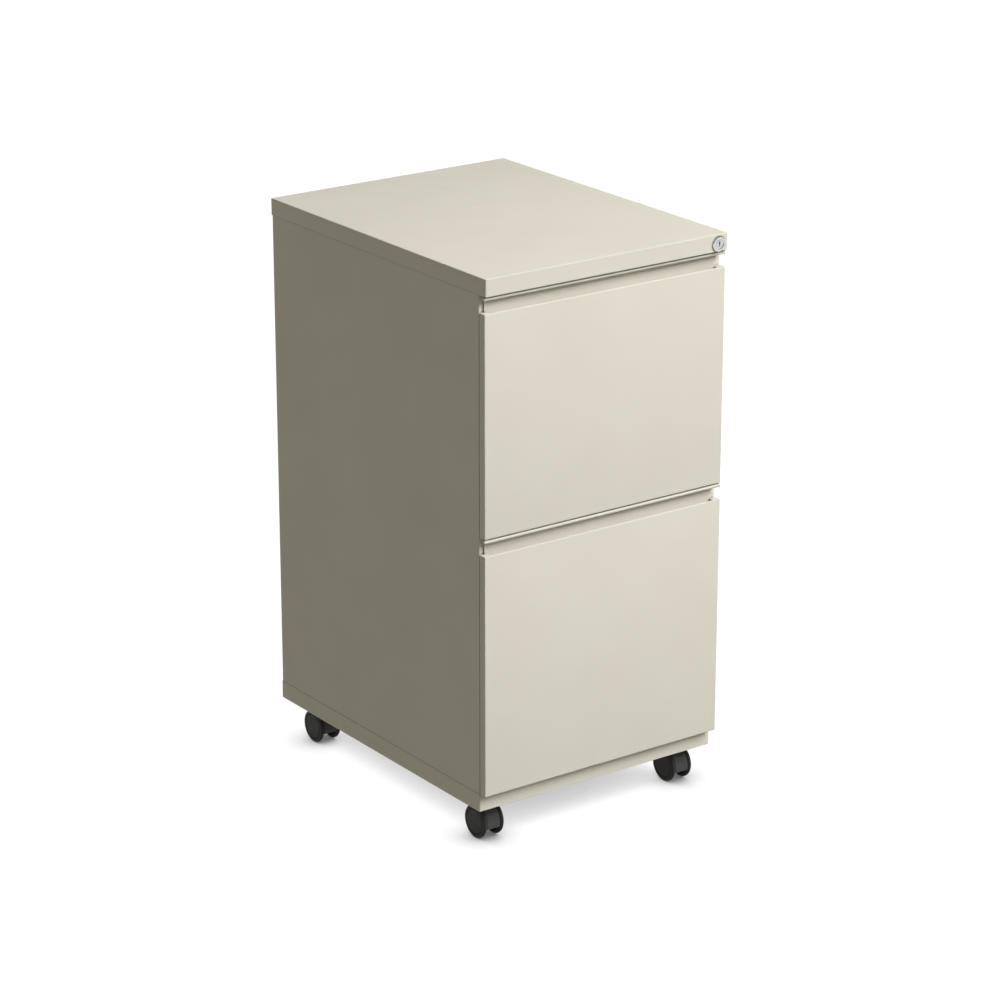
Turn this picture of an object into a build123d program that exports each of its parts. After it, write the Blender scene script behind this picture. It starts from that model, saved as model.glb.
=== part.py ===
from build123d import *
import math
import os

# Two-drawer mobile file pedestal in folded sheet steel, on four twin-wheel casters.
#
# Frame: the origin is on the floor under the middle of the pedestal, +X is to the right as seen from
# the front, +Y goes to the back and +Z goes up.  All sizes are in millimetres.

# ---------------------------------------------------------------- driving dimensions
WIDTH = 365.0  # over the top cap
DEPTH = 472.0  # from the lock's face to the back of the cap
HEIGHT = 738.0  # floor to top
SHEET = 1.0  # panel steel
LOCK_PROUD = 2.0  # lock bezel in front of the cap

CAP_SKIRT = 22.0  # height of the cap's turned-down edge
CAP_RADIUS = 1.0  # bend radius of the cap's outer edges
BODY_INSET = 0.8  # sides and drawers inside the cap's edge
FACE_SETBACK = 3.0  # drawer faces behind the cap's front
CASE_SETBACK = 15.0  # case and base behind the cap's front
BASE_BOTTOM = 52.0
BASE_HEIGHT = 24.0
RETURN = 8.0  # turned-in edge under the cap

DRAWER_PITCH = 303.0
PULL_GAP = 16.0  # height of the finger recess above a drawer face
BEAD = 4.6  # rolled edge over the recess
REVEAL = 1.4  # gap between a bead and what is above it
HEAD_DEPTH = 11.0  # thickness of a drawer head
EDGE_RADIUS = 0.9  # bend radius of the drawer faces

POST = 7.5  # front and rear edges of the side panels, across the width
SLIDE_SPACE = 13.0  # side clearance that a ball slide takes
SLIDE_LENGTH = 406.0
SLIDE_GAUGE = 1.2
SLIDE_ABOVE_BOTTOM = 75.0  # slide centre above the drawer bottom
BOX_DROP = 269.0  # drawer bottom below the face's top edge
BOX_SIDE = 245.0  # height of the drawer sides
BOX_BACK_Y = 205.0

LOCK_FROM_SIDE = 14.2
LOCK_FROM_TOP = 12.0
BARREL_RADIUS = 7.0
CAM_REACH = 7.0  # lock centre to the cam's pin
CAM_TURN = 90.0

WHEEL_RADIUS = 22.0
CASTER_X = 149.7
CASTER_FRONT_Y = -184.0  # wheel centres
CASTER_REAR_Y = 188.0
CASTER_TRAIL = 7.0  # swivel axis in front of the axle

# ---------------------------------------------------------------- derived places
FRONT = LOCK_PROUD - DEPTH / 2
BACK = DEPTH / 2
HALF = WIDTH / 2
BODY_X = HALF - BODY_INSET
FACE_Y = FRONT + FACE_SETBACK
CASE_Y = FRONT + CASE_SETBACK
HEAD_BACK_Y = FACE_Y + HEAD_DEPTH
BASE_TOP = BASE_BOTTOM + BASE_HEIGHT
CASE_TOP = HEIGHT - CAP_SKIRT
POST_X = BODY_X - POST
BOX_X = POST_X - SLIDE_SPACE
OPENING_X = POST_X - 2.2  # half width of the drawer pieces that pass between the posts
BACK_PANEL_Y = BACK - 1.5  # outer face of the back panel, so that its screws stay inside the depth
SLIDE_FRONT_Y = CASE_Y + 2.0

UPPER_TOP = CASE_TOP - REVEAL - BEAD - PULL_GAP
LOWER_TOP = UPPER_TOP - DRAWER_PITCH
# each drawer: top of its face, bottom of its face
DRAWERS = {
    "upper": (UPPER_TOP, LOWER_TOP + PULL_GAP + BEAD + REVEAL),
    "lower": (LOWER_TOP, BASE_TOP),
}
SIDES = {"left": -1, "right": 1}
CASTERS = {
    "front_left": (-CASTER_X, CASTER_FRONT_Y),
    "front_right": (CASTER_X, CASTER_FRONT_Y),
    "rear_left": (-CASTER_X, CASTER_REAR_Y),
    "rear_right": (CASTER_X, CASTER_REAR_Y),
}
LOCK_X = HALF - LOCK_FROM_SIDE
LOCK_Z = HEIGHT - LOCK_FROM_TOP
BAR_TRAVEL = 2 * CAM_REACH * math.sin(math.radians(CAM_TURN / 2))

os.makedirs("parts", exist_ok=True)


def write(piece, label):
    """Name a finished piece and write its STEP file."""
    piece.label = label
    export_step(piece, f"parts/{label}.step")


def block(x, y, z, mode=Mode.ADD):
    """A box between the low and high values of x, y and z, inside the current part."""
    middle = ((x[0] + x[1]) / 2, (y[0] + y[1]) / 2, (z[0] + z[1]) / 2)
    with Locations(middle):
        Box(abs(x[1] - x[0]), abs(y[1] - y[0]), abs(z[1] - z[0]), mode=mode)


def panel_rect(u, v, mode=Mode.ADD):
    """A rectangle between the low and high values of u and v, inside the current sketch."""
    with Locations(((u[0] + u[1]) / 2, (v[0] + v[1]) / 2)):
        Rectangle(abs(u[1] - u[0]), abs(v[1] - v[0]), mode=mode)


def along_y(x, y, z):
    """A plane at a point, looking to the back: its sketches extrude towards +Y."""
    return Plane(origin=(x, y, z), x_dir=(1, 0, 0), z_dir=(0, 1, 0))


# ---------------------------------------------------------------- case
SCREW_X = BODY_X - 11.5
SCREW_HEIGHTS = (100.0, 396.0, 692.0)
SCREW_PLACES = [(side * SCREW_X, z) for side in SIDES.values() for z in SCREW_HEIGHTS]
SCREW_RADIUS = 1.5
SCREW_HEAD_RADIUS = 4.0
CROSS = (4.4, 0.9)  # arms of the screws' cross recess, length and width
FREE = 0.1  # clearance round a screw


def drill_back_screws():
    """Holes for the back panel's screws, in the current part."""
    for x, z in SCREW_PLACES:
        with Locations(along_y(x, BACK_PANEL_Y - SHEET, z)):
            Cylinder(SCREW_RADIUS + FREE, 4 * SHEET, mode=Mode.SUBTRACT)


# top cap: a pan with turned-down edges and a narrow return underneath
BAR_Y = (CASE_Y + 15.0, CASE_Y + 16.5)  # front and back of the lock bar
BAR_X = (POST_X + 1.5, BODY_X - SHEET - 0.5)
with BuildPart() as top_cap:
    block((-HALF, HALF), (FRONT, BACK), (CASE_TOP, HEIGHT))
    fillet(top_cap.edges().filter_by(Axis.Z), radius=2.0)
    fillet(top_cap.faces().sort_by(Axis.Z)[-1].edges(), radius=CAP_RADIUS)
    fillet(top_cap.faces().sort_by(Axis.Z)[0].edges(), radius=0.8)
    block(
        (-HALF + SHEET, HALF - SHEET),
        (FRONT + SHEET, BACK - SHEET),
        (CASE_TOP + SHEET, HEIGHT - SHEET),
        mode=Mode.SUBTRACT,
    )
    block(
        (-HALF + SHEET + RETURN, HALF - SHEET - RETURN),
        (FRONT + RETURN, BACK - RETURN),
        (CASE_TOP, CASE_TOP + SHEET),
        mode=Mode.SUBTRACT,
    )
    # notch in the return where the lock bar comes up
    block(
        (POST_X - 2, HALF - SHEET),
        (BAR_Y[0] - 6, BAR_Y[1] + 6),
        (CASE_TOP, CASE_TOP + SHEET),
        mode=Mode.SUBTRACT,
    )
    with BuildSketch(along_y(LOCK_X, FRONT - 1, LOCK_Z)):
        Circle(BARREL_RADIUS + FREE)
    extrude(amount=SHEET + 2, mode=Mode.SUBTRACT)
write(top_cap.part, "top_cap")

# side panels: skin, front post edge, rear post edge, top and bottom flanges
FRONT_POST_DEPTH = 12.0
REAR_POST_DEPTH = 55.0
REAR_WALL_Y = BACK_PANEL_Y - SHEET
FLANGE = 15.0
FLANGE_FRONT_Y = -150.0
SEAM = 0.8  # edge radius of the folded sheet
for name, side in SIDES.items():
    with BuildPart() as side_panel:
        with BuildSketch(Plane.XY.offset(BASE_TOP)):
            panel_rect((side * (BODY_X - SHEET), side * BODY_X), (CASE_Y, REAR_WALL_Y))
            panel_rect((side * POST_X, side * BODY_X), (CASE_Y, CASE_Y + SHEET))
            panel_rect((side * POST_X, side * (POST_X + SHEET)), (CASE_Y, CASE_Y + FRONT_POST_DEPTH))
            panel_rect((side * POST_X, side * BODY_X), (REAR_WALL_Y - SHEET, REAR_WALL_Y))
            panel_rect((side * POST_X, side * (POST_X + SHEET)), (REAR_WALL_Y - REAR_POST_DEPTH, REAR_WALL_Y))
            panel_rect((side * (SCREW_X - 6), side * POST_X), (REAR_WALL_Y - SHEET, REAR_WALL_Y))
        extrude(amount=CASE_TOP - BASE_TOP)
        front_corner = side_panel.edges().filter_by(Axis.Z).group_by(Axis.Y)[0].sort_by(Axis.X)
        fillet(front_corner[-1] if side > 0 else front_corner[0], radius=SEAM)
        skin = side_panel.faces().sort_by(Axis.X)[-1 if side > 0 else 0]
        fillet(skin.edges().filter_by(Axis.Y), radius=SEAM)
        for low in (BASE_TOP, CASE_TOP - SHEET):
            block(
                (side * (BODY_X - FLANGE), side * (BODY_X - SHEET)),
                (FLANGE_FRONT_Y, REAR_WALL_Y - REAR_POST_DEPTH),
                (low, low + SHEET),
            )
        drill_back_screws()
    write(side_panel.part, f"{name}_side_panel")

# back panel
with BuildPart() as back_panel:
    block(
        (-BODY_X + SHEET, BODY_X - SHEET),
        (BACK_PANEL_Y - SHEET, BACK_PANEL_Y),
        (BASE_TOP + 0.5, CASE_TOP - 0.5),
    )
    fillet(back_panel.edges().filter_by(Axis.Y), radius=3.0)
    drill_back_screws()
write(back_panel.part, "back_panel")

# base: an upside-down tray whose sides show as the band under the case
BASE_RETURN = 5.0
with BuildPart() as base_pan:
    block((-BODY_X, BODY_X), (CASE_Y, BACK), (BASE_BOTTOM, BASE_TOP))
    fillet(base_pan.edges().filter_by(Axis.Z), radius=1.5)
    fillet(base_pan.faces().sort_by(Axis.Z)[0].edges(), radius=SEAM)
    fillet(base_pan.faces().sort_by(Axis.Z)[-1].edges(), radius=SEAM)
    block(
        (-BODY_X + SHEET, BODY_X - SHEET),
        (CASE_Y + SHEET, BACK - SHEET),
        (BASE_BOTTOM + SHEET, BASE_TOP - SHEET),
        mode=Mode.SUBTRACT,
    )
    block(
        (-BODY_X + SHEET + BASE_RETURN, BODY_X - SHEET - BASE_RETURN),
        (CASE_Y + SHEET + BASE_RETURN, BACK - SHEET - BASE_RETURN),
        (BASE_BOTTOM, BASE_BOTTOM + SHEET),
        mode=Mode.SUBTRACT,
    )
write(base_pan.part, "base_pan")

# front rail under the cap, a channel open to the back
RAIL_Y = CASE_Y + 2.0
RAIL_DEPTH = 26.0
RAIL_HEIGHT = 16.0
with BuildPart() as top_front_rail:
    block((-POST_X, POST_X), (RAIL_Y, RAIL_Y + SHEET), (CASE_TOP - RAIL_HEIGHT, CASE_TOP))
    for low in (CASE_TOP - RAIL_HEIGHT, CASE_TOP - SHEET):
        block((-POST_X, POST_X), (RAIL_Y, RAIL_Y + RAIL_DEPTH), (low, low + SHEET))
write(top_front_rail.part, "top_front_rail")

# counterweight on the base at the back, so that an open drawer does not tip the pedestal
WEIGHT_SIZE = (280.0, 120.0, 25.0)
with BuildPart() as counterweight:
    block(
        (-WEIGHT_SIZE[0] / 2, WEIGHT_SIZE[0] / 2),
        (BACK - 12 - WEIGHT_SIZE[1], BACK - 12),
        (BASE_TOP, BASE_TOP + WEIGHT_SIZE[2]),
    )
    chamfer(counterweight.edges().filter_by(Axis.Z), length=6.0)
    fillet(counterweight.faces().sort_by(Axis.Z)[-1].edges(), radius=1.5)
write(counterweight.part, "counterweight")

# back panel screws: pan heads outside, shanks through the panel and the rear posts
with BuildPart() as case_screws:
    for x, z in SCREW_PLACES:
        with BuildSketch(along_y(x, BACK_PANEL_Y - 6, z)):
            Circle(SCREW_RADIUS)
        extrude(amount=6)
        with BuildSketch(along_y(x, BACK_PANEL_Y, z)):
            Circle(SCREW_HEAD_RADIUS)
        extrude(amount=BACK - BACK_PANEL_Y, taper=20)
        with BuildSketch(along_y(x, BACK - 0.9, z)):
            Rectangle(CROSS[0], CROSS[1])
            Rectangle(CROSS[1], CROSS[0])
        extrude(amount=2, mode=Mode.SUBTRACT)
write(case_screws.part, "case_screws")

# ---------------------------------------------------------------- ball slides
# Each slide has an outer member on the case, a middle member and an inner member on the drawer.
# Widths are measured outwards from the drawer side, heights from the slide's centre line.
OUTER_BACK = SLIDE_SPACE
OUTER_HALF_HEIGHT = 22.5
MIDDLE_BACK = 10.2
MIDDLE_HALF_HEIGHT = 19.0
OUTER_REACH = 4.3
OUTER_LIP = 2.7
MIDDLE_REACH = 3.1
INNER_REACH = 7.6
INNER_HALF_HEIGHT = 15.5


def channel(side, back, reach, half_height):
    """Section of a C channel on its back, from the drawer side outwards, in the current sketch."""
    g = SLIDE_GAUGE if back > reach else -SLIDE_GAUGE
    panel_rect((side * (BOX_X + back), side * (BOX_X + back - g)), (-half_height, half_height))
    for edge in (-1, 1):
        panel_rect(
            (side * (BOX_X + reach), side * (BOX_X + back)),
            (edge * half_height, edge * (half_height - SLIDE_GAUGE)),
        )


def slide_plane(y, z):
    """Plane across a slide at its front end: u is +X, v is +Z, and it extrudes towards -Y."""
    return Plane(origin=(0, y, z), x_dir=(1, 0, 0), z_dir=(0, -1, 0))


for level, (face_top, face_bottom) in DRAWERS.items():
    centre = face_top - BOX_DROP + SLIDE_ABOVE_BOTTOM
    for name, side in SIDES.items():
        with BuildPart() as outer_slide:
            with BuildSketch(slide_plane(SLIDE_FRONT_Y, centre)):
                channel(side, OUTER_BACK, OUTER_REACH, OUTER_HALF_HEIGHT)
                for edge in (-1, 1):
                    panel_rect(
                        (side * (BOX_X + OUTER_REACH), side * (BOX_X + OUTER_REACH + SLIDE_GAUGE)),
                        (edge * OUTER_HALF_HEIGHT, edge * (OUTER_HALF_HEIGHT - OUTER_LIP)),
                    )
            extrude(amount=-SLIDE_LENGTH)
        write(outer_slide.part, f"{level}_{name}_outer_slide")

        with BuildPart() as middle_slide:
            with BuildSketch(slide_plane(SLIDE_FRONT_Y + 2, centre)):
                channel(side, MIDDLE_BACK, MIDDLE_REACH, MIDDLE_HALF_HEIGHT)
            extrude(amount=-(SLIDE_LENGTH - 6))
        write(middle_slide.part, f"{level}_{name}_middle_slide")

        with BuildPart() as inner_slide:
            with BuildSketch(slide_plane(SLIDE_FRONT_Y, centre)):
                channel(side, 0.0, INNER_REACH, INNER_HALF_HEIGHT)
            extrude(amount=-(SLIDE_LENGTH - 2))
        write(inner_slide.part, f"{level}_{name}_inner_slide")

# ---------------------------------------------------------------- drawers
HEM = 2.6  # folded edge at the top of a drawer face
POCKET = 8.0  # depth of the finger pocket behind that edge
RECESS_X = POST_X + 1.0  # half width of the recess wall, in front of the posts
BOX_FLANGE = 13.0
HEAD_SCREW_RADIUS = 2.0
LUG_Y = (BAR_Y[1] + 1.0, BAR_Y[1] + 9.5)
LUG_HEIGHT = 6.0
LUG_ABOVE_BOTTOM = 180.0
FILE_RAIL_TOP = 253.0  # above the drawer bottom
BOTTOM_FLANGE = 12.0
BOX_HEM = 2.4
LUG_REACH = 9.8
BACK_HEIGHT = 228.0  # of the drawer's back
BACK_SIDE_FLANGE = 12.0
BACK_TOP_FLANGE = 10.0
for level, (face_top, face_bottom) in DRAWERS.items():
    bottom = face_top - BOX_DROP
    head_screws = [(side * (BOX_X - 7), bottom + up) for side in SIDES.values() for up in (30.0, 205.0)]

    # outer face: a pan open to the back, with a finger pocket behind its folded top edge
    with BuildPart() as drawer_front:
        block((-BODY_X, BODY_X), (FACE_Y, HEAD_BACK_Y), (face_bottom, face_top))
        fillet(drawer_front.edges().filter_by(Axis.Y), radius=EDGE_RADIUS + 0.1)
        fillet(drawer_front.faces().sort_by(Axis.Y)[0].edges(), radius=EDGE_RADIUS)
        block(
            (-BODY_X + SHEET, BODY_X - SHEET),
            (FACE_Y + SHEET, HEAD_BACK_Y),
            (face_bottom + SHEET, face_top - SHEET),
            mode=Mode.SUBTRACT,
        )
        block(
            (-OPENING_X, OPENING_X),
            (FACE_Y + HEM, HEAD_BACK_Y),
            (face_top - SHEET, face_top),
            mode=Mode.SUBTRACT,
        )
        block((-OPENING_X, OPENING_X), (FACE_Y + SHEET, FACE_Y + HEM), (face_top - POCKET, face_top - SHEET))
        lip = drawer_front.edges().filter_by(Axis.X).group_by(Axis.Z)[-1].sort_by(Axis.Y)[-1]
        fillet(lip, radius=0.8)
    write(drawer_front.part, f"{level}_drawer_front")

    # pull: pocket floor, recess wall, and the rolled bead over the recess
    bead_low = face_top + PULL_GAP
    flange_top = bead_low + BEAD - 0.4
    with BuildPart() as drawer_pull:
        block((-OPENING_X, OPENING_X), (FACE_Y + SHEET, HEAD_BACK_Y), (face_top - POCKET - SHEET, face_top - POCKET))
        block((-OPENING_X, OPENING_X), (HEAD_BACK_Y - SHEET, HEAD_BACK_Y), (face_top - POCKET - SHEET, face_top))
        block((-RECESS_X, RECESS_X), (HEAD_BACK_Y - SHEET, HEAD_BACK_Y), (face_top, flange_top))
        block((-RECESS_X, RECESS_X), (FACE_Y + 2, HEAD_BACK_Y), (flange_top - SHEET, flange_top))
        with BuildSketch(Plane.YZ.offset(-BODY_X)):
            with Locations((FACE_Y + BEAD / 2, bead_low + BEAD / 2)):
                Circle(BEAD / 2)
                with Locations((BEAD / 4, 0)):
                    Rectangle(BEAD / 2, BEAD)
        extrude(amount=2 * BODY_X)
    write(drawer_pull.part, f"{level}_drawer_pull")

    # inner front: a tray with its edges turned forwards into the head
    tray_low = face_bottom + 4
    tray_high = face_top - POCKET - SHEET
    with BuildPart() as inner_front:
        block((-OPENING_X, OPENING_X), (HEAD_BACK_Y, HEAD_BACK_Y + SHEET), (tray_low, tray_high))
        for side in SIDES.values():
            block(
                (side * OPENING_X, side * (OPENING_X - SHEET)),
                (FACE_Y + 2, HEAD_BACK_Y),
                (tray_low, tray_high),
            )
        for low in (tray_low, tray_high - SHEET):
            block((-OPENING_X, OPENING_X), (FACE_Y + 2, HEAD_BACK_Y), (low, low + SHEET))
        for x, z in head_screws:
            with BuildSketch(along_y(x, HEAD_BACK_Y - 1, z)):
                Circle(HEAD_SCREW_RADIUS + FREE)
            extrude(amount=3, mode=Mode.SUBTRACT)
    write(inner_front.part, f"{level}_drawer_inner_front")

    # box: bottom and sides folded from one sheet, with flanges at the front and hems on top
    box_front = HEAD_BACK_Y + SHEET
    with BuildPart() as drawer_box:
        block((-BOX_X, BOX_X), (box_front, BOX_BACK_Y), (bottom, bottom + SHEET))
        block((-BOX_X, BOX_X), (box_front, box_front + SHEET), (bottom, bottom + BOTTOM_FLANGE))
        for side in SIDES.values():
            block((side * BOX_X, side * (BOX_X - SHEET)), (box_front, BOX_BACK_Y), (bottom, bottom + BOX_SIDE))
            block(
                (side * BOX_X, side * (BOX_X - BOX_FLANGE)),
                (box_front, box_front + SHEET),
                (bottom, bottom + BOX_SIDE),
            )
            block(
                (side * BOX_X, side * (BOX_X - BOX_HEM)),
                (box_front, BOX_BACK_Y),
                (bottom + BOX_SIDE - 6, bottom + BOX_SIDE),
            )
        # lug that the lock bar's finger drops in front of
        block(
            (BOX_X, BOX_X + LUG_REACH),
            LUG_Y,
            (bottom + LUG_ABOVE_BOTTOM - LUG_HEIGHT / 2, bottom + LUG_ABOVE_BOTTOM + LUG_HEIGHT / 2),
        )
        for x, z in head_screws:
            with BuildSketch(along_y(x, box_front - 1, z)):
                Circle(HEAD_SCREW_RADIUS + FREE)
            extrude(amount=3, mode=Mode.SUBTRACT)
    write(drawer_box.part, f"{level}_drawer_box")

    # back of the drawer, with its side and top edges turned forwards
    with BuildPart() as drawer_back:
        inside = BOX_X - SHEET
        back_top = bottom + BACK_HEIGHT
        block((-inside, inside), (BOX_BACK_Y - SHEET, BOX_BACK_Y), (bottom + SHEET, back_top))
        block((-inside, inside), (BOX_BACK_Y - BACK_TOP_FLANGE, BOX_BACK_Y), (back_top - SHEET, back_top))
        for side in SIDES.values():
            block(
                (side * inside, side * (inside - SHEET)),
                (BOX_BACK_Y - BACK_SIDE_FLANGE, BOX_BACK_Y),
                (bottom + SHEET, back_top),
            )
    write(drawer_back.part, f"{level}_drawer_back")

    # rails that hanging files hook over
    for name, side in SIDES.items():
        with BuildPart() as file_rail:
            block(
                (side * (BOX_X - BOX_HEM), side * (BOX_X - 2 * BOX_HEM)),
                (box_front + SHEET + 0.5, BOX_BACK_Y - 1.5),
                (bottom + BOX_SIDE - 10, bottom + FILE_RAIL_TOP),
            )
            fillet(file_rail.faces().sort_by(Axis.Z)[-1].edges().filter_by(Axis.Y), radius=0.9)
        write(file_rail.part, f"{level}_{name}_file_rail")

    # screws that hold the head to the box, with their heads inside the drawer
    with BuildPart() as drawer_screws:
        for x, z in head_screws:
            with BuildSketch(along_y(x, HEAD_BACK_Y - 7, z)):
                Circle(HEAD_SCREW_RADIUS)
            extrude(amount=7 + 2 * SHEET)
            with BuildSketch(along_y(x, box_front + SHEET, z)):
                Circle(SCREW_HEAD_RADIUS)
            extrude(amount=2.4, taper=20)
            with BuildSketch(along_y(x, box_front + SHEET + 1.2, z)):
                Rectangle(CROSS[0], CROSS[1])
                Rectangle(CROSS[1], CROSS[0])
            extrude(amount=2, mode=Mode.SUBTRACT)
    write(drawer_screws.part, f"{level}_drawer_screws")

# ---------------------------------------------------------------- lock
PLUG_RADIUS = 5.0
RUNNING = 0.05  # radial clearance of a turning fit
BEZEL_RADIUS = 10.0
DISH_RADIUS = 6.6  # shallow dish round the plug
BARREL_BACK = FRONT + 26.0
CAM_Y = (BARREL_BACK + 1.0, BARREL_BACK + 2.8)
TAIL_HALF = 2.5  # square tail that carries the cam
PIN_RADIUS = 1.2

# housing: bezel, barrel and the bore that the plug turns in
with BuildPart() as lock_housing:
    with BuildSketch(along_y(LOCK_X, -DEPTH / 2, LOCK_Z)):
        Circle(BEZEL_RADIUS)
    extrude(amount=LOCK_PROUD)
    fillet(lock_housing.faces().sort_by(Axis.Y)[0].edges(), radius=1.2)
    with BuildSketch(along_y(LOCK_X, FRONT, LOCK_Z)):
        Circle(BARREL_RADIUS)
    extrude(amount=BARREL_BACK - FRONT)
    with BuildSketch(along_y(LOCK_X, -DEPTH / 2, LOCK_Z)):
        Circle(DISH_RADIUS)
    extrude(amount=0.7, mode=Mode.SUBTRACT)
    with BuildSketch(along_y(LOCK_X, -DEPTH / 2, LOCK_Z)):
        Circle(PLUG_RADIUS + RUNNING)
    extrude(amount=60, mode=Mode.SUBTRACT)
write(lock_housing.part, "lock_housing")

# nut that clamps the housing to the cap's front
with BuildPart() as lock_nut:
    with BuildSketch(along_y(LOCK_X, FRONT + SHEET, LOCK_Z)):
        RegularPolygon(radius=8.5, side_count=6, major_radius=False)
        Circle(BARREL_RADIUS, mode=Mode.SUBTRACT)
    extrude(amount=3.5)
write(lock_nut.part, "lock_nut")

# plug with its keyway and square tail
with BuildPart() as lock_plug:
    with BuildSketch(along_y(LOCK_X, -DEPTH / 2 + 0.3, LOCK_Z)):
        Circle(PLUG_RADIUS)
    extrude(amount=BARREL_BACK - (-DEPTH / 2 + 0.3))
    fillet(lock_plug.faces().sort_by(Axis.Y)[0].edges(), radius=0.4)
    with BuildSketch(along_y(LOCK_X, BARREL_BACK, LOCK_Z)):
        Rectangle(2 * TAIL_HALF, 2 * TAIL_HALF)
    extrude(amount=CAM_Y[1] - BARREL_BACK + 0.6)
    with BuildSketch(along_y(LOCK_X, -DEPTH / 2, LOCK_Z)):
        Rectangle(1.4, 6.4)
        with Locations((0, -1.2)):
            Rectangle(2.4, 1.4)
    extrude(amount=16, mode=Mode.SUBTRACT)
write(lock_plug.part, "lock_plug")

# cam: at rest its arm points up and outwards, and it turns down to lock
arm_x = CAM_REACH * math.cos(math.radians(CAM_TURN / 2))
arm_z = CAM_REACH * math.sin(math.radians(CAM_TURN / 2))
with BuildPart() as lock_cam:
    with BuildSketch(Plane(origin=(LOCK_X, CAM_Y[0], LOCK_Z), x_dir=(-1, 0, 0), z_dir=(0, 1, 0))):
        Circle(4.6)
        with Locations((-arm_x, arm_z)):
            Circle(2.5)
        with Locations((-arm_x / 2, arm_z / 2)):
            Rectangle(CAM_REACH, 5.0, rotation=-CAM_TURN / 2)
        Rectangle(2 * TAIL_HALF, 2 * TAIL_HALF, mode=Mode.SUBTRACT)
    extrude(amount=CAM_Y[1] - CAM_Y[0])
    with BuildSketch(Plane(origin=(LOCK_X, CAM_Y[1], LOCK_Z), x_dir=(-1, 0, 0), z_dir=(0, 1, 0))):
        with Locations((-arm_x, arm_z)):
            Circle(PIN_RADIUS)
    extrude(amount=BAR_Y[1] + 1.0 - CAM_Y[1])
write(lock_cam.part, "lock_cam")

# lock bar: a strip inside the right post with a slotted head and a finger for each drawer
BAR_BOTTOM = 100.0
head_top = LOCK_Z + arm_z + 4.0
slot = PIN_RADIUS + 0.5
with BuildPart() as lock_bar:
    block(BAR_X, BAR_Y, (BAR_BOTTOM, head_top))
    block((LOCK_X + 2.2, BAR_X[1]), BAR_Y, (head_top - 8.0, head_top))
    block(
        (LOCK_X + arm_x - slot, LOCK_X + CAM_REACH + slot),
        (BAR_Y[0] - 1, BAR_Y[1] + 1),
        (LOCK_Z + arm_z - slot, LOCK_Z + arm_z + slot),
        mode=Mode.SUBTRACT,
    )
    for face_top, face_bottom in DRAWERS.values():
        finger_low = face_top - BOX_DROP + LUG_ABOVE_BOTTOM + LUG_HEIGHT / 2 + 0.5 + BAR_TRAVEL
        block((BOX_X + 4.0, BAR_X[0]), BAR_Y, (finger_low, finger_low + 8.0))
write(lock_bar.part, "lock_bar")

# clips that guide the lock bar on the right side panel
with BuildPart() as lock_bar_guides:
    for low in (130.0, 380.0, 655.0):
        block((POST_X + 0.2, BODY_X - SHEET), (BAR_Y[0] - 2.0, BAR_Y[1] + 2.0), (low, low + 14))
        block((BAR_X[0] - 0.4, BAR_X[1] + 0.4), (BAR_Y[0] - 0.4, BAR_Y[1] + 0.4), (low, low + 14), mode=Mode.SUBTRACT)
write(lock_bar_guides.part, "lock_bar_guides")

# ---------------------------------------------------------------- casters
STEM_RADIUS = 4.0
STEM_BOTTOM = 31.0
STEM_TOP = 71.0
HOOD_TOP = 44.0
COLLAR_BOTTOM = 56.4
COLLAR_TOP = 60.0
COLLAR_FLATS = 13.0
GUSSET = 2.5
AXLE_RADIUS = 2.5
AXLE_HALF = 14.0
AXLE_BOSS_RADIUS = 6.0
HOOD_HALF = 9.8
FENDER_RADIUS = 20.6
FENDER_WALL = 2.5
WEB_HALF = 3.0
FENDER_REAR = 25.0  # degrees above the axle at the back
FENDER_FRONT = 198.0  # degrees, a little under the axle at the front
SWIVEL_RADIUS = 6.2
# wheel section, measured from the caster's middle and from the axle
WHEEL_FACE = 15.5
WHEEL_INNER = 10.3
WHEEL_CROWN = (WHEEL_FACE + WHEEL_INNER) / 2
SHOULDER_RADIUS = 19.2
DISC_RADIUS = 16.0
CREASE = 0.8  # groove between the wheel's disc and its tread
RIM_RADIUS = 17.6
WEB_FACE = 13.2
HUB_INNER = 10.4
HUB_RADIUS = 5.5
BORE_END = 14.2
stem_places = [(x, y - CASTER_TRAIL) for x, y in CASTERS.values()]

# corner brackets inside the base that take the stems
with BuildPart() as caster_gussets:
    for x, y in stem_places:
        outward = 1 if x > 0 else -1
        if y < 0:
            span = (CASE_Y + SHEET, y + 40)
        else:
            span = (y - 30, BACK - SHEET)
        inner_x = outward * (CASTER_X - 30)
        block((inner_x, outward * (BODY_X - SHEET)), span, (COLLAR_TOP, COLLAR_TOP + GUSSET))
        block((inner_x, inner_x + outward * GUSSET), span, (COLLAR_TOP, BASE_TOP - SHEET))
    with Locations(*[(x, y, COLLAR_TOP + GUSSET / 2) for x, y in stem_places]):
        Cylinder(STEM_RADIUS + FREE, 2 * GUSSET, mode=Mode.SUBTRACT)
write(caster_gussets.part, "caster_gussets")

# threaded stems with a hexagon collar, and the nuts over the brackets
with BuildPart() as caster_stems:
    for x, y in stem_places:
        with BuildSketch(Plane.XY.offset(STEM_BOTTOM)):
            with Locations((x, y)):
                Circle(STEM_RADIUS)
        extrude(amount=STEM_TOP - STEM_BOTTOM)
        with BuildSketch(Plane.XY.offset(COLLAR_BOTTOM)):
            with Locations((x, y)):
                RegularPolygon(radius=COLLAR_FLATS / 2, side_count=6, major_radius=False)
        extrude(amount=COLLAR_TOP - COLLAR_BOTTOM)
        with BuildSketch(Plane.XY.offset(COLLAR_TOP + GUSSET)):
            with Locations((x, y)):
                RegularPolygon(radius=COLLAR_FLATS / 2, side_count=6, major_radius=False)
        extrude(amount=6.0)
write(caster_stems.part, "caster_stems")


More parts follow.
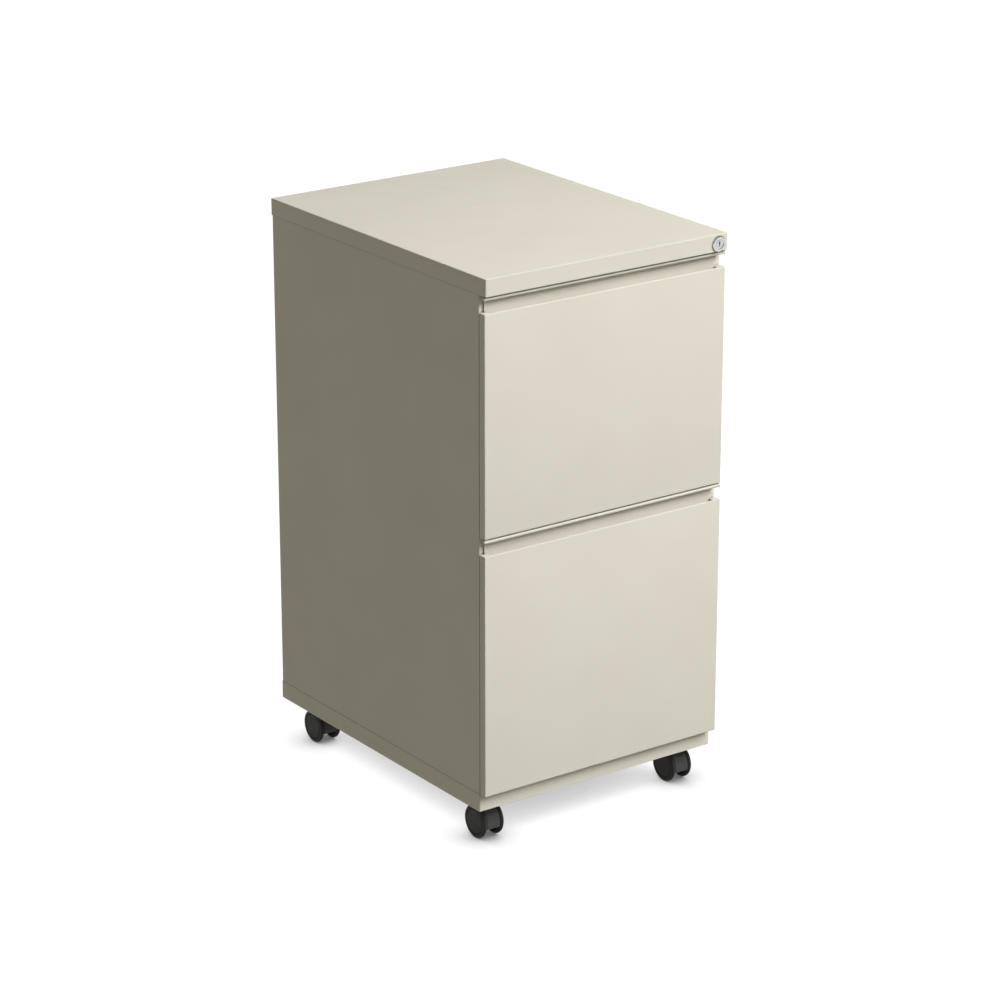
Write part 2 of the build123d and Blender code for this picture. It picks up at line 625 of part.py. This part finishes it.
for corner, (x, y) in CASTERS.items():
    axle_point = (x, y, WHEEL_RADIUS)
    # hood: fender over the wheels, web, axle boss and the swivel boss in front of the axle
    with BuildPart() as hood:
        with BuildSketch(Plane.YZ.offset(x - HOOD_HALF)):
            with Locations((y, WHEEL_RADIUS)):
                Circle(FENDER_RADIUS)
                Circle(FENDER_RADIUS - FENDER_WALL, mode=Mode.SUBTRACT)
        extrude(amount=2 * HOOD_HALF)
        with BuildSketch(Plane.YZ.offset(x - WEB_HALF)):
            with Locations((y, WHEEL_RADIUS)):
                Circle(FENDER_RADIUS - FENDER_WALL)
        extrude(amount=2 * WEB_HALF)
        # the wedge under the fender is open
        rear = math.radians(FENDER_REAR)
        front = math.radians(FENDER_FRONT)
        far = 60.0
        with BuildSketch(Plane.YZ.offset(x - HOOD_HALF - 1)):
            with BuildLine():
                Polyline(
                    (y, WHEEL_RADIUS),
                    (y + far * math.cos(rear), WHEEL_RADIUS + far * math.sin(rear)),
                    (y + far, WHEEL_RADIUS - far),
                    (y - far, WHEEL_RADIUS - far),
                    (y + far * math.cos(front), WHEEL_RADIUS + far * math.sin(front)),
                    (y, WHEEL_RADIUS),
                )
            make_face()
        extrude(amount=2 * HOOD_HALF + 2, mode=Mode.SUBTRACT)
        with BuildSketch(Plane.YZ.offset(x - HOOD_HALF)):
            with Locations((y, WHEEL_RADIUS)):
                Circle(AXLE_BOSS_RADIUS)
        extrude(amount=2 * HOOD_HALF)
        with BuildSketch(Plane.XY.offset(STEM_BOTTOM - 3)):
            with Locations((x, y - CASTER_TRAIL)):
                Circle(SWIVEL_RADIUS)
        extrude(amount=HOOD_TOP - STEM_BOTTOM + 3)
        with BuildSketch(Plane.XY.offset(STEM_BOTTOM - 1)):
            with Locations((x, y - CASTER_TRAIL)):
                Circle(STEM_RADIUS + RUNNING)
        extrude(amount=HOOD_TOP, mode=Mode.SUBTRACT)
        with BuildSketch(Plane.YZ.offset(x - HOOD_HALF - 1)):
            with Locations((y, WHEEL_RADIUS)):
                Circle(AXLE_RADIUS)
        extrude(amount=2 * HOOD_HALF + 2, mode=Mode.SUBTRACT)
    write(hood.part, f"{corner}_caster_hood")

    with BuildPart() as axle:
        with BuildSketch(Plane.YZ.offset(x - AXLE_HALF)):
            with Locations((y, WHEEL_RADIUS)):
                Circle(AXLE_RADIUS)
        extrude(amount=2 * AXLE_HALF)
        chamfer(axle.edges(), length=0.4)
    write(axle.part, f"{corner}_caster_axle")

    for name, side in SIDES.items():
        with BuildPart() as wheel:
            # half section: u runs along the axle, v is the distance from it
            with BuildSketch(Plane(origin=axle_point, x_dir=(1, 0, 0), z_dir=(0, -1, 0))):
                with BuildLine():
                    Polyline(
                        (side * BORE_END, 0),
                        (side * WHEEL_FACE, 0),
                        (side * WHEEL_FACE, DISC_RADIUS),
                        (side * (WHEEL_FACE - CREASE), DISC_RADIUS + CREASE),
                        (side * WHEEL_FACE, DISC_RADIUS + 2 * CREASE),
                        (side * WHEEL_FACE, SHOULDER_RADIUS),
                    )
                    ThreePointArc(
                        (side * WHEEL_FACE, SHOULDER_RADIUS),
                        (side * WHEEL_CROWN, WHEEL_RADIUS),
                        (side * WHEEL_INNER, SHOULDER_RADIUS),
                    )
                    Polyline(
                        (side * WHEEL_INNER, SHOULDER_RADIUS),
                        (side * WHEEL_INNER, RIM_RADIUS),
                        (side * WEB_FACE, RIM_RADIUS),
                        (side * WEB_FACE, HUB_RADIUS),
                        (side * HUB_INNER, HUB_RADIUS),
                        (side * HUB_INNER, AXLE_RADIUS + RUNNING),
                        (side * BORE_END, AXLE_RADIUS + RUNNING),
                        (side * BORE_END, 0),
                    )
                make_face()
            revolve(axis=Axis(axle_point, (1, 0, 0)))
        write(wheel.part, f"{corner}_caster_{name}_wheel")
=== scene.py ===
import math

import bpy
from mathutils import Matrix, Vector


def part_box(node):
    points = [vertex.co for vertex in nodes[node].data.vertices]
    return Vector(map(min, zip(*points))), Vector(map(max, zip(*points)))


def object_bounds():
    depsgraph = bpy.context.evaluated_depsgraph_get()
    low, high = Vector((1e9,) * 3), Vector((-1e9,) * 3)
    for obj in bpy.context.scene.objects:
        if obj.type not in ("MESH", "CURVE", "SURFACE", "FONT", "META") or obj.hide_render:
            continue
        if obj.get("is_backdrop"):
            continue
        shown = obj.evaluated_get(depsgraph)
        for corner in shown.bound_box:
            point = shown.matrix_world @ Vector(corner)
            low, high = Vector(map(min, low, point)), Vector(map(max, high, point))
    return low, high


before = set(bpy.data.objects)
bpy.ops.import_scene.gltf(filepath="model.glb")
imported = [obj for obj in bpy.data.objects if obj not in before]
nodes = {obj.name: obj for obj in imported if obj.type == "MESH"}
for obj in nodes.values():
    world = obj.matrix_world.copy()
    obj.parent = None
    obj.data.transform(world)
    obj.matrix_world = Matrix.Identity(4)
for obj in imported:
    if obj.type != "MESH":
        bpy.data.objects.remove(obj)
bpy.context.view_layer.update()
scene = bpy.context.scene

# ---------------------------------------------------------------- camera
CAMERA_PLACE = (-2.4417, -3.4052, 1.8385)
CAMERA_TILT = 70.5783  # degrees from straight down
CAMERA_TURN = -35.7176
LENS = 124.615

camera_data = bpy.data.cameras.new("camera")
camera_data.sensor_width = 36.0
camera_data.lens = LENS
camera = bpy.data.objects.new("camera", camera_data)
camera.location = CAMERA_PLACE
camera.rotation_euler = (math.radians(CAMERA_TILT), 0.0, math.radians(CAMERA_TURN))
scene.collection.objects.link(camera)
scene.camera = camera

# ---------------------------------------------------------------- light
WORLD_COLOUR = (1.0, 0.99, 0.77, 1.0)
WORLD_STRENGTH = 0.21

scene.view_settings.view_transform = "Standard"
world = bpy.data.worlds.new("studio")
world.use_nodes = True
background = world.node_tree.nodes["Background"]
background.inputs["Color"].default_value = WORLD_COLOUR
background.inputs["Strength"].default_value = WORLD_STRENGTH
scene.world = world


def softbox(name, place, aim, size, power):
    """A rectangular area light that looks at a point."""
    data = bpy.data.lights.new(name, "AREA")
    data.shape = "RECTANGLE"
    data.size, data.size_y = size
    data.energy = power
    light = bpy.data.objects.new(name, data)
    light.location = place
    light.rotation_euler = (Vector(aim) - Vector(place)).to_track_quat("-Z", "Y").to_euler()
    scene.collection.objects.link(light)
    return light


# the key lights surfaces and its twin, sheen, gives their highlights, so that each has its own power
KEY_PLACE = (3.465, -4.442, 5.09)
KEY_AIM = (0.0, 0.0, 0.45)
KEY_SIZE = (4.4, 4.4)
KEY_POWER = 714.0  # watts
SHEEN_POWER = 165.0
REAR_PLACE = (1.4, 6.2, 1.5)
REAR_AIM = (0.0, 0.0, 0.4)
REAR_SIZE = (3.0, 2.0)
REAR_POWER = 190.0

key = softbox("key", KEY_PLACE, KEY_AIM, KEY_SIZE, KEY_POWER)
key.visible_glossy = False
sheen = softbox("sheen", KEY_PLACE, KEY_AIM, KEY_SIZE, SHEEN_POWER)
sheen.visible_diffuse = False
rear_fill = softbox("rear_fill", REAR_PLACE, REAR_AIM, REAR_SIZE, REAR_POWER)
rear_fill.visible_glossy = False

# ---------------------------------------------------------------- shader helpers


class Shader:
    """A Principled material, with short calls for the nodes that feed it."""

    def __init__(self, name, rough, metal=0.0, specular=0.5):
        self.material = bpy.data.materials.new(name)
        self.material.use_nodes = True
        self.tree = self.material.node_tree
        self.surface = self.tree.nodes["Principled BSDF"]
        self.surface.inputs["Roughness"].default_value = rough
        self.surface.inputs["Metallic"].default_value = metal
        self.surface.inputs["Specular IOR Level"].default_value = specular
        self.place = self.tree.nodes.new("ShaderNodeTexCoord").outputs["Object"]

    def link(self, output, node, socket):
        self.tree.links.new(output, node.inputs[socket])

    def stretched(self, scale):
        """Object coordinates with their own scale on each axis."""
        mapping = self.tree.nodes.new("ShaderNodeMapping")
        mapping.inputs["Scale"].default_value = scale
        self.link(self.place, mapping, "Vector")
        return mapping.outputs["Vector"]

    def noise(self, scale, detail=2.0, rough=0.5, place=None):
        node = self.tree.nodes.new("ShaderNodeTexNoise")
        node.inputs["Scale"].default_value = scale
        node.inputs["Detail"].default_value = detail
        node.inputs["Roughness"].default_value = rough
        self.link(place or self.place, node, "Vector")
        return node.outputs["Fac"]

    def cells(self, scale, place=None):
        node = self.tree.nodes.new("ShaderNodeTexVoronoi")
        node.inputs["Scale"].default_value = scale
        self.link(place or self.place, node, "Vector")
        return node.outputs["Color"]

    def span(self, value, low, high, start=0.0, end=1.0):
        """The value between low and high, spread from start to end."""
        node = self.tree.nodes.new("ShaderNodeMapRange")
        self.link(value, node, "Value")
        node.inputs["From Min"].default_value = low
        node.inputs["From Max"].default_value = high
        node.inputs["To Min"].default_value = start
        node.inputs["To Max"].default_value = end
        return node.outputs["Result"]

    def sums(self, operation, first, second):
        node = self.tree.nodes.new("ShaderNodeMath")
        node.operation = operation
        for socket, value in enumerate((first, second)):
            if isinstance(value, float):
                node.inputs[socket].default_value = value
            else:
                self.link(value, node, socket)
        return node.outputs["Value"]

    def blend(self, factor, first, second):
        """Colour from first to second; each is a colour or an output."""
        node = self.tree.nodes.new("ShaderNodeMix")
        node.data_type = "RGBA"
        self.link(factor, node, 0)
        for socket, value in ((6, first), (7, second)):
            if isinstance(value, tuple):
                node.inputs[socket].default_value = (*value, 1.0)
            else:
                self.link(value, node, socket)
        return node.outputs[2]

    def glow_white(self, base, strength):
        """White emission over a dark base; the strength is a number or an output."""
        self.surface.inputs["Base Color"].default_value = (base, base, base, 1.0)
        self.surface.inputs["Emission Color"].default_value = (1.0, 1.0, 1.0, 1.0)
        if isinstance(strength, float):
            self.surface.inputs["Emission Strength"].default_value = strength
        else:
            self.link(strength, self.surface, "Emission Strength")
        return self.material

    def bump(self, height, strength, distance, below=None):
        node = self.tree.nodes.new("ShaderNodeBump")
        node.inputs["Strength"].default_value = strength
        node.inputs["Distance"].default_value = distance
        self.link(height, node, "Height")
        if below:
            self.link(below, node, "Normal")
        return node.outputs["Normal"]

    def edges(self, radius, low, high):
        """0 on flats and 1 on sharp edges, from a rounded normal."""
        bevel = self.tree.nodes.new("ShaderNodeBevel")
        bevel.samples = 4
        bevel.inputs["Radius"].default_value = radius
        geometry = self.tree.nodes.new("ShaderNodeNewGeometry")
        dot = self.tree.nodes.new("ShaderNodeVectorMath")
        dot.operation = "DOT_PRODUCT"
        self.link(bevel.outputs["Normal"], dot, 0)
        self.link(geometry.outputs["True Normal"], dot, 1)
        return self.span(dot.outputs["Value"], high, low)

    def openness(self, reach, low, high, samples=6):
        """0 deep in a seam or under an edge, and 1 in the open."""
        node = self.tree.nodes.new("ShaderNodeAmbientOcclusion")
        node.samples = samples
        node.inputs["Distance"].default_value = reach
        return self.span(node.outputs["AO"], low, high)

    def along(self, axis):
        """Place at rest along X, Y or Z."""
        split = self.tree.nodes.new("ShaderNodeSeparateXYZ")
        self.link(self.place, split, "Vector")
        return split.outputs[axis]

    def finish(self, colour=None, rough=None, normal=None):
        if colour:
            self.link(colour, self.surface, "Base Color")
        if rough:
            self.link(rough, self.surface, "Roughness")
        if normal:
            self.link(normal, self.surface, "Normal")
        return self.material


# ---------------------------------------------------------------- materials
PAINT = (0.710, 0.673, 0.606)
PAINT_SHADE = (0.690, 0.652, 0.584)
PAINT_WORN = (0.745, 0.712, 0.650)
PAINT_DUST = (0.640, 0.605, 0.530)
PAINT_SEAM_SHADE = (0.250, 0.235, 0.205)  # painted shade, with some dust, darkening the paint in seams and under edges
SEAM_REACH = 0.0045
# shading only: the cap and the drawer faces are flat, and are lit as if they
# fell away by BOW * offset ** 2; it stands in for uneven studio light
BOW = 0.20
PEEL_SCALE, PEEL_DEPTH = 420.0, 0.0012
GRAIN_SCALE, GRAIN_DEPTH = 1700.0, 0.0004


def powder_coat(name, bow_axis=None, bow_middle=0.0):
    """Satin putty powder coat: orange peel, slight mottling, burnished edges, scuffs near the floor and
    painted shade in seams.
    """
    mat = Shader(name, 0.55, specular=0.26)
    mottling = mat.span(mat.noise(9.0, 3.0), 0.35, 0.65)
    fleck = mat.span(mat.noise(2300.0, 1.0), 0.42, 0.58)
    colour = mat.blend(mottling, PAINT, PAINT_SHADE)
    colour = mat.blend(mat.sums("MULTIPLY", fleck, 0.25), colour, PAINT_WORN)
    low_down = mat.span(mat.along("Z"), 0.085, 0.05)
    scuffs = mat.span(mat.noise(1.0, 4.0, 0.7, mat.stretched((60.0, 60.0, 260.0))), 0.55, 0.72)
    colour = mat.blend(mat.sums("MULTIPLY", scuffs, mat.sums("MULTIPLY", low_down, 0.5)), colour, PAINT_DUST)
    edge = mat.sums("MULTIPLY", mat.edges(0.0012, 0.80, 0.97), mat.span(mat.noise(70.0, 3.0), 0.45, 0.65))
    colour = mat.blend(mat.sums("MULTIPLY", edge, 0.5), colour, PAINT_WORN)
    # painted shade: the paint darkens where ambient occlusion finds a seam or an overhanging edge
    colour = mat.blend(mat.openness(SEAM_REACH, 0.25, 0.85), PAINT_SEAM_SHADE, colour)
    rough = mat.span(mat.noise(30.0, 4.0), 0.3, 0.7, 0.50, 0.62)
    below = None
    if bow_axis:
        offset = mat.sums("SUBTRACT", mat.along(bow_axis), bow_middle)
        bowed = mat.sums("MULTIPLY", mat.sums("MULTIPLY", offset, offset), -BOW)
        below = mat.bump(bowed, 1.0, 1.0)
    peel = mat.bump(mat.noise(PEEL_SCALE), 0.05, PEEL_DEPTH, below)
    grain = mat.bump(mat.noise(GRAIN_SCALE), 0.10, GRAIN_DEPTH, peel)
    return mat.finish(colour, rough, grain)


def plated_steel(name, colour, shade, grain_scale, low_rough, high_rough):
    """Plated steel, drawn lengthwise: fine streaks and patchy sheen."""
    mat = Shader(name, 0.3, metal=1.0)
    streaks = mat.noise(1.0, 3.0, 0.6, mat.stretched(grain_scale))
    patches = mat.cells(90.0)
    tone = mat.sums("ADD", mat.sums("MULTIPLY", streaks, 0.7), mat.sums("MULTIPLY", patches, 0.3))
    base = mat.blend(mat.span(tone, 0.3, 0.7), shade, colour)
    rough = mat.span(streaks, 0.3, 0.7, low_rough, high_rough)
    return mat.finish(base, rough, mat.bump(streaks, 0.25, 0.0002))


def cast_iron(name):
    """Painted iron plate with a coarse skin."""
    mat = Shader(name, 0.65, specular=0.3)
    skin = mat.noise(260.0, 5.0, 0.65)
    base = mat.blend(mat.span(skin, 0.3, 0.7), (0.045, 0.045, 0.048), (0.085, 0.083, 0.082))
    edge = mat.edges(0.0015, 0.85, 0.97)
    base = mat.blend(mat.sums("MULTIPLY", edge, 0.5), base, (0.16, 0.15, 0.14))
    return mat.finish(base, mat.span(skin, 0.3, 0.7, 0.55, 0.8), mat.bump(skin, 0.5, 0.0006))


def chrome(name):
    """Bright chrome with hairline handling marks."""
    mat = Shader(name, 0.1, metal=1.0)
    mat.surface.inputs["Base Color"].default_value = (0.60, 0.605, 0.61, 1.0)
    marks = mat.span(mat.noise(1.0, 2.0, 0.6, mat.stretched((2500.0, 900.0, 500.0))), 0.55, 0.75)
    rough = mat.span(marks, 0.0, 1.0, 0.09, 0.22)
    return mat.finish(None, rough, mat.bump(mat.noise(700.0, 2.0), 0.03, 0.0002))


def nylon(name, colour, scuffed, rough_low, rough_high, specular):
    """Black moulded nylon: fine spark-eroded grain and dull scuffing on its edges."""
    mat = Shader(name, 0.45, specular=specular)
    wear = mat.span(mat.noise(160.0, 4.0, 0.65), 0.48, 0.72)
    edge = mat.edges(0.0010, 0.82, 0.97)
    amount = mat.sums("ADD", mat.sums("MULTIPLY", wear, 0.35), mat.sums("MULTIPLY", edge, 0.35))
    base = mat.blend(amount, colour, scuffed)
    rough = mat.span(wear, 0.0, 1.0, rough_low, rough_high)
    grain = mat.bump(mat.noise(2600.0, 2.0), 0.22, 0.0003)
    return mat.finish(base, rough, grain)


finishes = {
    "putty_paint": powder_coat("putty_powder_coat"),
    "zinc_steel": plated_steel(
        "bright_zinc", (0.66, 0.67, 0.66), (0.52, 0.53, 0.53), (900.0, 14.0, 900.0), 0.24, 0.40
    ),
    "hardware_steel": plated_steel(
        "plated_hardware", (0.60, 0.59, 0.56), (0.45, 0.44, 0.42), (1200.0, 300.0, 1200.0), 0.28, 0.42
    ),
    "weight_iron": cast_iron("painted_iron"),
    "lock_chrome": chrome("lock_bright_chrome"),
    "caster_hood_nylon": nylon("hood_nylon", (0.052, 0.052, 0.054), (0.080, 0.080, 0.082), 0.40, 0.52, 0.2),
    "caster_wheel_nylon": nylon("wheel_nylon", (0.036, 0.036, 0.038), (0.056, 0.056, 0.058), 0.42, 0.58, 0.1),
}
for name, piece in nodes.items():
    for slot in piece.material_slots:
        slot.material = finishes[slot.material.name.split(".")[0]]
for level in ("upper", "lower"):
    face = f"{level}_drawer_front"
    low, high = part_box(face)
    nodes[face].material_slots[0].material = powder_coat(f"{level}_face_coat", "Z", (low[2] + high[2]) / 2)
nodes["top_cap"].material_slots[0].material = powder_coat("cap_coat", "Y")

# ---------------------------------------------------------------- floor and dome
WHITE = 1.02  # emission that reads as the photo's plain white
FLOOR_HALF = 40.0
FLOOR_SAMPLES = 24
CONTACT_REACH, CONTACT_GLOW = 0.06, 0.12  # painted shadow close to the wheels
UNDER_REACH, UNDER_GLOW = 0.22, 0.50  # the wide shade under the case


def new_mesh(name, points, faces):
    """An object in the scene, made from points and faces."""
    mesh = bpy.data.meshes.new(name)
    mesh.from_pydata(points, [], faces)
    piece = bpy.data.objects.new(name, mesh)
    scene.collection.objects.link(piece)
    return piece


floor_points = [(x * FLOOR_HALF, y * FLOOR_HALF, 0.0) for x, y in ((-1, -1), (1, -1), (1, 1), (-1, 1))]
floor = new_mesh("floor", floor_points, [(0, 1, 2, 3)])
floor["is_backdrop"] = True
floor.visible_diffuse = False
white = Shader("floor_white", 0.9, specular=0.0)
# painted shadow: the floor's white glow is dimmed by ambient occlusion near the wheels and under the case
contact = white.openness(CONTACT_REACH, 0.2, 0.93, FLOOR_SAMPLES)
under = white.openness(UNDER_REACH, 0.10, 0.34, FLOOR_SAMPLES)
contact_glow = white.span(contact, 0.0, 1.0, CONTACT_GLOW, WHITE)
under_glow = white.span(under, 0.0, 1.0, UNDER_GLOW, WHITE)
glow = white.sums("MINIMUM", contact_glow, under_glow)
floor.data.materials.append(white.glow_white(0.04, glow))

# a white dome that only the camera sees, so that low views have a plain background
DOME_RADIUS = 39.0
RINGS = 12
SECTORS = 32
dome_points = [(0.0, 0.0, DOME_RADIUS)]
for ring in range(1, RINGS + 1):
    fall = math.pi / 2 * ring / RINGS
    for sector in range(SECTORS):
        turn = 2 * math.pi * sector / SECTORS
        out = DOME_RADIUS * math.sin(fall)
        dome_points.append((out * math.cos(turn), out * math.sin(turn), DOME_RADIUS * math.cos(fall)))
dome_faces = [(0, 1 + sector, 1 + (sector + 1) % SECTORS) for sector in range(SECTORS)]
for ring in range(RINGS - 1):
    start = 1 + ring * SECTORS
    for sector in range(SECTORS):
        beside = (sector + 1) % SECTORS
        below = start + SECTORS
        dome_faces.append((start + sector, below + sector, below + beside, start + beside))
dome = new_mesh("dome", dome_points, dome_faces)
dome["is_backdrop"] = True
dome.visible_diffuse = False
dome.visible_glossy = False
dome.visible_shadow = False
dome_white = Shader("dome_white", 0.9, specular=0.0)
dome.data.materials.append(dome_white.glow_white(0.0, WHITE))

low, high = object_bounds()
